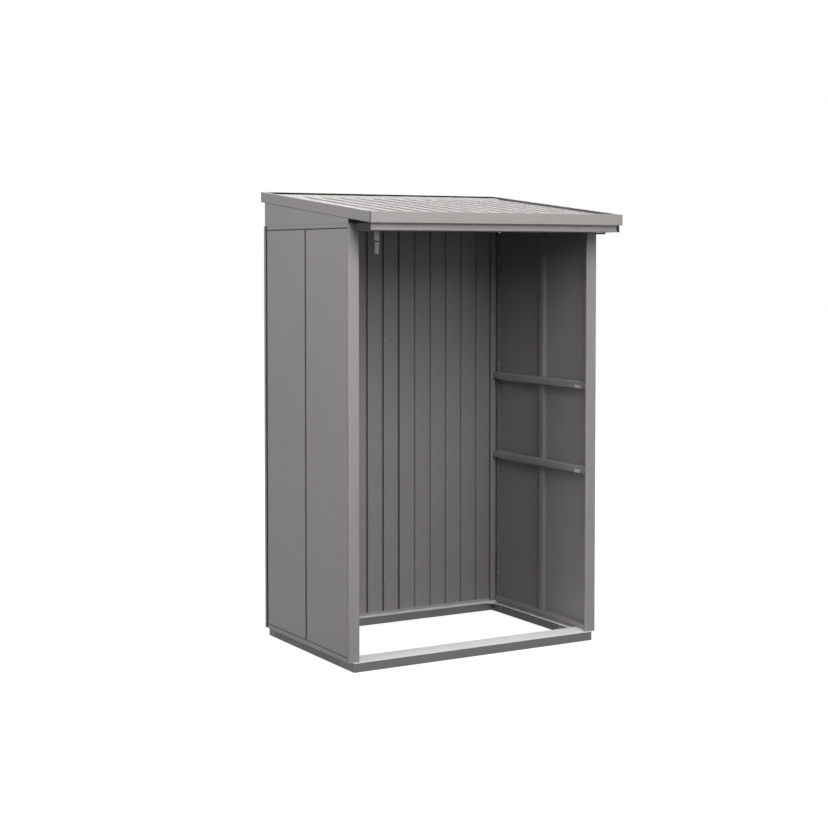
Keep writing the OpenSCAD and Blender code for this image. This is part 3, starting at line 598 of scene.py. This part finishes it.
# %% [markdown]
# ## The outlet
#
# The outlet is moulded: a socket with a flange that sits in the gutter, a rubber
# ring, and a spigot that hangs in the socket. All of them are turned shapes with
# soft corners. A corner is softened by swapping its point for a short arc.

# %% Turn the outlet
def soften(outline, radius, steps=4):
    """A closed outline whose corners become arcs.

    An arc is the quadratic blend (1-t)^2 p + 2 t (1-t) corner + t^2 q of the corner
    with the points p and q that lie a radius before and after it.
    """
    outline = np.asarray(outline, float)
    before, after = np.roll(outline, 1, axis=0), np.roll(outline, -1, axis=0)

    def near(a, b):
        """The point a radius from a towards b, but not past 0.45 of the way."""
        way = b - a
        length = np.linalg.norm(way, axis=1, keepdims=True)
        return a + way / length * np.minimum(radius, 0.45 * length)

    t = np.linspace(0.0, 1.0, steps + 1)[None, :, None]
    p, q = near(outline, before)[:, None], near(outline, after)[:, None]
    arc = (1 - t) ** 2 * p + 2 * t * (1 - t) * outline[:, None] + t ** 2 * q
    return arc.reshape(-1, 2)


def ring_solid(name, node, outline, radius, material, segments=48):
    """A closed outline in millimetres (r, z) turned about the outlet's axis.

    The outline's last ring of points is its first one again, so both are joined.
    """
    low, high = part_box(node)
    centre = (np.array(low) + np.array(high)) / 2
    loop = MM * soften(outline, radius)
    loop = np.concatenate([loop, loop[:1]])
    verts, faces = revolve(loop, segments)
    verts = verts + np.array([centre[0], centre[1], low[2]])
    ring = len(verts) - segments
    faces = [[v - ring if v >= ring else v for v in face] for face in faces]
    piece = add_piece(name, verts[:ring], faces, material)
    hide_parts(node)
    print(name, len(faces), "faces, top at", round(float(verts[:, 2].max()), 4))


ring_solid("outlet_socket_turned", "outlet_socket", [
    (10.5, 0.0), (13.25, 0.0), (13.25, 3.0), (12.5, 3.6), (12.5, 42.5), (22.0, 42.5),
    (22.0, 44.5), (10.5, 44.5)], 0.5, outlet_plastic)
ring_solid("outlet_seal_turned", "outlet_seal", [
    (10.5, 0.0), (11.5, 0.0), (11.5, 6.0), (10.5, 6.0)], 0.6, black_rubber)
ring_solid("outlet_spigot_turned", "outlet_spigot", [
    (8.55, 0.0), (9.7, 0.0), (10.25, 3.0), (10.25, 42.0), (12.0, 42.0), (12.0, 47.0),
    (10.25, 47.0), (10.25, 72.0), (8.55, 72.0)], 0.5, outlet_plastic)

# %% [markdown]
# ## Side rails
#
# Two rails cross the inside of each side wall. They are rolled from strip, with a
# crisp lower fold and a soft upper one, which is why their upper edge melts into
# the wall while the lower one draws a dark line. The section is a path whose
# corners become arcs of their own radius, and its second face is the same path
# moved by the sheet's thickness.

# %% Bent strip and the skin over it
def rounded_path(points, radii, steps=8):
    """An open path whose inner corners become circular arcs of the given radii.

    For a corner b between a and c with turn angle w, the arc of radius r starts
    r tan(w/2) before b, and its points turn about the centre in equal steps.
    """
    points = np.asarray(points, float)
    out = [points[:1]]
    for a, b, c, r in zip(points[:-2], points[1:-1], points[2:], radii):
        p, q = (b - a) / np.linalg.norm(b - a), (c - b) / np.linalg.norm(c - b)
        turn = np.arctan2(p[0] * q[1] - p[1] * q[0], p @ q)
        left = np.array([-p[1], p[0]]) * np.sign(turn)
        centre = b - p * r * np.tan(abs(turn) / 2) + left * r
        angles = np.linspace(0.0, turn, steps + 1)
        start = -left * r
        out.append(centre + np.stack([
            start[0] * np.cos(angles) - start[1] * np.sin(angles),
            start[0] * np.sin(angles) + start[1] * np.cos(angles)], axis=1))
    return np.concatenate(out + [points[-1:]])


def strip_outline(points, radii, thickness):
    """Closed outline of a bent strip: the path, then back along its left side.

    The left side is the same path with each leg moved by the thickness and each
    radius smaller by it, or larger by it where the path turns right.
    """
    points = np.asarray(points, float)
    legs = np.diff(points, axis=0)
    legs /= np.linalg.norm(legs, axis=1, keepdims=True)
    normals = np.stack([-legs[:, 1], legs[:, 0]], axis=1)
    cross = legs[:-1, 0] * legs[1:, 1] - legs[:-1, 1] * legs[1:, 0]
    middle = points[1:-1] + thickness * (normals[:-1] + normals[1:]) / (
        1.0 + (normals[:-1] * normals[1:]).sum(axis=1, keepdims=True))
    moved = np.concatenate([points[:1] + thickness * normals[:1], middle,
                            points[-1:] + thickness * normals[-1:]])
    inner = np.asarray(radii) - thickness * np.sign(cross)
    return np.concatenate([rounded_path(points, radii), rounded_path(moved, inner)[::-1]])


def skin(rings):
    """Quads between rings of equally many points, and a cap on each end ring.

    The rings run anticlockwise as seen from before the first one, so that every
    face looks outwards.
    """
    rings = np.asarray(rings, float)
    many, count = rings.shape[:2]
    step = np.arange(count)
    after = (step + 1) % count
    start = count * np.arange(many - 1)[:, None]
    sides = np.stack([after + start, step + start, step + start + count,
                      after + start + count], axis=-1).reshape(-1, 4)
    caps = [step.tolist(), (step[::-1] + count * (many - 1)).tolist()]
    return rings.reshape(-1, 3), sides.tolist() + caps


def run_along_y(outline, y0, y1):
    """A closed outline in (x, z) carried straight from y0 to y1, with end caps.

    The outline is first turned to run anticlockwise in (x, z).
    """
    x, z = outline[:, 0], outline[:, 1]
    if (x * np.roll(z, -1) - z * np.roll(x, -1)).sum() < 0.0:
        outline = outline[::-1]
    x, z = outline[:, 0], outline[:, 1]
    return skin([np.stack([x, np.full(len(x), y), z], axis=1) for y in (y0, y1)])


def volume_cm3(piece):
    """The signed volume of a closed mesh: above 0 when all normals face out.

    It is the sum of a . (b x c) / 6 over all triangles a, b, c.
    """
    mesh = piece.data
    mesh.calc_loop_triangles()
    triangles = np.array([t.vertices[:] for t in mesh.loop_triangles])
    points = np.array([v.co[:] for v in mesh.vertices])
    a, b, c = (points[triangles[:, k]] for k in range(3))
    return round(float(np.einsum("ij,ij->i", a, np.cross(b, c)).sum() / 6.0) * 1e6, 1)


test_strip = strip_outline([(0, 0), (1, 0), (1, 1)], [0.2], 0.1)
print("a test strip with one bend:", len(test_strip), "points")

# %% Roll the side rails
RAIL_SHEET, CRISP_FOLD, SOFT_FOLD = 1.5 * MM, 2.2 * MM, 8.5 * MM
for name in ["left_upper", "left_lower", "right_upper", "right_lower"]:
    node = name + "_side_rail"
    low, high = (np.array(corner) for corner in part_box(node))
    outer, inner = (low[0], high[0]) if name.startswith("left") else (high[0], low[0])
    path = [(outer, low[2]), (inner, low[2]), (inner, high[2]), (outer, high[2])]
    radii = [CRISP_FOLD, SOFT_FOLD]
    if name.startswith("right"):
        path, radii = path[::-1], radii[::-1]
    verts, faces = run_along_y(strip_outline(path, radii, RAIL_SHEET), low[1], high[1])
    piece = add_piece(node + "_rolled", verts, faces, paint)
    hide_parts(node)
    print(node, len(faces), "faces, volume", volume_cm3(piece), "cm3")

# %% [markdown]
# ## Roof sheets
#
# The roof sheets are pressed with ribs that run down the slope. At the upper edge
# a roofer turns the sheet's end up a little above the ribs, so that wind can't
# drive rain over it. The section is the same bent strip as before. It is carried up
# the slope, and over the last stretch every height glides to that one level along
# a smooth step.

# %% Press the roof sheets
# The ribs, the rib where the right sheet laps over the left one, and the sheets.
RIB_PITCH, RIB_H, RIB_BASE, RIB_TOP, RIB_BEND = 0.0847, 0.007, 0.011, 0.006, 0.0025
LAP_X, LAP_GROW, LAP_FLAT = -0.019, 0.0009, 0.014
ROOF_SHEET, ROOF_SHEET_X = 0.001, 0.618
# The roof's two edges, and how far the sheets' underside lies below that slope.
ROOF_Y0, ROOF_FRONT_H, ROOF_BACK_H, SHEET_UNDER = -0.507, 1.882, 1.990, 0.0175
SLOPE = math.atan((ROOF_BACK_H - ROOF_FRONT_H) / (-2 * ROOF_Y0))
# Up the slope: where a sheet starts and ends, and where its end turns up.
RUN_START, RUN_END = 0.022, 1.01575
TURN_START, TURN_END, TURN_RISE, TURN_STEPS = 0.870, 0.996, 0.0020, 7


def rib(x, grow=0.0):
    """The corners of a rib at x as (x, height): foot, top, top, foot."""
    foot, top = RIB_BASE / 2 + grow, RIB_TOP / 2 + grow
    return [(x - foot, 0.0), (x - top, RIB_H), (x + top, RIB_H), (x + foot, 0.0)]


def press_sheet(node, points, lift):
    """Section (x, h) carried up the slope: h + w(s) (ribs' height + rise - h).

    w rises from 0 to 1 between TURN_START and TURN_END, as the smooth step
    3 t^2 - 2 t^3. A point s up the slope and h above the sheets' underside lies at
    y = y0 + s cos a - n sin a, z = z0 + s sin a + n cos a for n = h + lift - under.
    """
    outline = strip_outline(points, [RIB_BEND] * (len(points) - 2), ROOF_SHEET)
    level = np.repeat([RIB_H, RIB_H + ROOF_SHEET], len(outline) // 2) + TURN_RISE
    s = np.concatenate([[RUN_START], np.linspace(TURN_START, TURN_END, TURN_STEPS),
                        [RUN_END]])[:, None]
    t = np.clip((s - TURN_START) / (TURN_END - TURN_START), 0.0, 1.0)
    height = outline[:, 1] + (3 * t ** 2 - 2 * t ** 3) * (level - outline[:, 1])
    n = height + lift - SHEET_UNDER
    rings = np.stack([np.broadcast_to(outline[:, 0], n.shape),
                      ROOF_Y0 + s * math.cos(SLOPE) - n * math.sin(SLOPE),
                      ROOF_FRONT_H + s * math.sin(SLOPE) + n * math.cos(SLOPE)], axis=-1)
    verts, faces = skin(rings)
    piece = add_piece(node + "_pressed", verts, faces, paint)
    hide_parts(node)
    print(node, len(faces), "faces, volume", volume_cm3(piece), "cm3")


left_ribs = [p for k in range(-6, 0) for p in rib(LAP_X + k * RIB_PITCH)]
right_ribs = [p for k in range(1, 8) for p in rib(LAP_X + k * RIB_PITCH)]
lap_reach = RIB_BASE / 2 + LAP_FLAT
press_sheet("roof_left_sheet", [(-ROOF_SHEET_X, 0.0)] + left_ribs + rib(LAP_X)
            + [(LAP_X + lap_reach, 0.0)], 0.0)
press_sheet("roof_right_sheet", [(LAP_X - lap_reach, 0.0)] + rib(LAP_X, LAP_GROW)
            + right_ribs + [(ROOF_SHEET_X, 0.0)], ROOF_SHEET)

# %% [markdown]
# ## Light
#
# The photograph is a studio picture on white. Three broad lamps overhead light the
# level faces, and four smaller ones, two in front and two at the left, model the
# uprights. The world is white only to rays that look at it: from the camera, off a
# shiny face or through plastic. To all others it is nearly black, so that the lamps
# alone shape the store.

# %% World and lamps
ROOM_STRENGTH = (0.04, 0.043)
LAMPS = [  # name, place, the height on the z axis that it faces, width, watts
    ("overhead", (0.0, -0.6, 6.5), 1.0, 5.0, 321.0),
    ("overhead_front", (-0.5, -4.5, 5.5), 1.0, 3.5, 45.0),
    ("overhead_back", (0.0, 3.0, 5.5), 1.0, 3.0, 225.0),
    ("front_far", (0.5, -8.5, 2.2), 1.0, 3.5, 120.0),
    ("front_near", (-0.8, -3.6, 3.4), 1.2, 2.2, 108.0),
    ("left_far", (-7.5, -1.5, 3.0), 1.0, 3.0, 128.0),
    ("left_high", (-4.0, -0.5, 4.6), 1.4, 2.0, 58.0),
]


def looked_at(g):
    """1 for rays from the camera, off shiny faces or through plastic, else 0."""
    rays = g.add("LightPath").outputs
    straight = g.calc("MAXIMUM", rays["Is Camera Ray"], rays["Is Transmission Ray"])
    return g.calc("MAXIMUM", straight, rays["Is Glossy Ray"])


def softbox(name, place, aim_height, size, watts):
    """A square area lamp at place that faces the store's middle at a height."""
    lamp = bpy.data.lights.new(name, "AREA")
    lamp.shape, lamp.size, lamp.energy = "SQUARE", size, watts
    lamp_object = bpy.data.objects.new(name, lamp)
    bpy.context.scene.collection.objects.link(lamp_object)
    direction = np.array([0.0, 0.0, aim_height]) - np.array(place)
    x, y, z = direction / np.linalg.norm(direction)
    lamp_object.location = place
    lamp_object.rotation_euler = (math.acos(-z), 0.0, math.atan2(-x, y))


world = bpy.data.worlds.new("studio")
bpy.context.scene.world = world
sky = Graph(world)
up = sky.split(sky.add("TexCoord").outputs["Generated"])[2]
room = sky.add("Background", {"Color": WHITE, "Strength": sky.span(up, *ROOM_STRENGTH)})
backdrop = sky.add("Background", {"Color": WHITE, "Strength": 1.0})
sky.finish(sky.add("MixShader", {0: looked_at(sky), 1: room.outputs[0],
                                 2: backdrop.outputs[0]}), "OutputWorld")
for lamp in LAMPS:
    softbox(*lamp)

# %% [markdown]
# ## Floor
#
# The floor is white where nothing shades it. To the camera it is mostly its own
# white glow, with a little diffuse light on top, so a soft shadow of the store
# stays on it and the lamps need not be raised until the picture clips. To all other
# rays it is a dull grey that throws little light up into the store. The strip
# under the base frame hardly glows, because little light gets there.

# %% The floor
FLOOR_HALF = 30.0
FLOOR_DULL, FLOOR_LIT = (0.055, 0.065), (0.22, 0.22, 0.22, 1.0)
# Metres from the store where the glow starts to grow and is full, and its strength.
GLOW_REACH, GLOW, GLOW_UNDER_BASE = (1.6, 5.0), (0.9, 1.0), 0.05
# The base frame on the floor: middle y, half width and half depth.
BASE_OUTLINE, BASE_OPENING = (0.080, 0.597, 0.406), (0.107, 0.560, 0.330)


def on_floor(g, place, middle_y, half_x, half_y):
    """1 inside a rectangle on the floor with its middle on x = 0, else 0."""
    x, y, _ = g.split(place)
    away_y = g.calc("ABSOLUTE", g.calc("SUBTRACT", y, middle_y))
    return g.times(g.below(g.calc("ABSOLUTE", x), half_x), g.below(away_y, half_y))


def floor_white():
    """Glowing white to rays that look at it, and a dull grey to all others."""
    g = Graph(bpy.data.materials.new("studio_floor"))
    place = g.object_place()
    dull = g.ramp(g.noise(place, 3.0), list(zip((0.3, 0.7), FLOOR_DULL)))
    bounce = g.add("BsdfDiffuse", {"Color": dull})
    away = g.add("VectorMath", {0: place}, operation="LENGTH").outputs["Value"]
    under = g.calc("SUBTRACT", on_floor(g, place, *BASE_OUTLINE),
                   on_floor(g, place, *BASE_OPENING))
    glow = g.times(g.fade(away, *GLOW_REACH, *GLOW), g.span(under, 1.0, GLOW_UNDER_BASE))
    shine = g.add("Emission", {"Color": WHITE, "Strength": glow})
    lit = g.add("BsdfDiffuse", {"Color": FLOOR_LIT})
    pale = g.add("AddShader", {0: lit.outputs[0], 1: shine.outputs[0]})
    return g.finish(g.add("MixShader", {0: looked_at(g), 1: bounce.outputs[0],
                                        2: pale.outputs[0]}))


floor_mesh = bpy.data.meshes.new("floor")
corners = FLOOR_HALF * np.array([[-1, -1, 0], [1, -1, 0], [1, 1, 0], [-1, 1, 0]], float)
floor_mesh.from_pydata(corners.tolist(), [], [(0, 1, 2, 3)])
floor_mesh.materials.append(floor_white())
floor = bpy.data.objects.new("floor", floor_mesh)
bpy.context.scene.collection.objects.link(floor)
print("floor", 2 * FLOOR_HALF, "m wide")

# %% [markdown]
# ## Camera
#
# The view is a long lens at 30 degrees round the left front corner, a little
# below the roof's height. It is tilted down by only 2.4 degrees and its picture is
# shifted down for the rest. That keeps the uprights nearly parallel, as in an
# architect's picture. The numbers come from a fit to the photograph's long edges.

# %% The camera
CAMERA_PLACE = (-3.83497, -6.40695, 1.70430)
LENS_MM, SENSOR_MM, PICTURE_SHIFT = 73.857, 36.0, -0.10484
TILT_DOWN, TURN_ROUND = 2.4, 30.069

camera_data = bpy.data.cameras.new("camera")
camera_data.lens = LENS_MM
camera_data.sensor_width = SENSOR_MM
camera_data.shift_y = PICTURE_SHIFT
camera = bpy.data.objects.new("camera", camera_data)
camera.location = CAMERA_PLACE
camera.rotation_euler = (math.radians(90.0 - TILT_DOWN), 0.0, math.radians(-TURN_ROUND))
bpy.context.scene.collection.objects.link(camera)
bpy.context.scene.camera = camera
bpy.context.scene.view_settings.view_transform = "Standard"
print("camera", round(math.hypot(*CAMERA_PLACE[:2]), 2), "m from the store's middle")
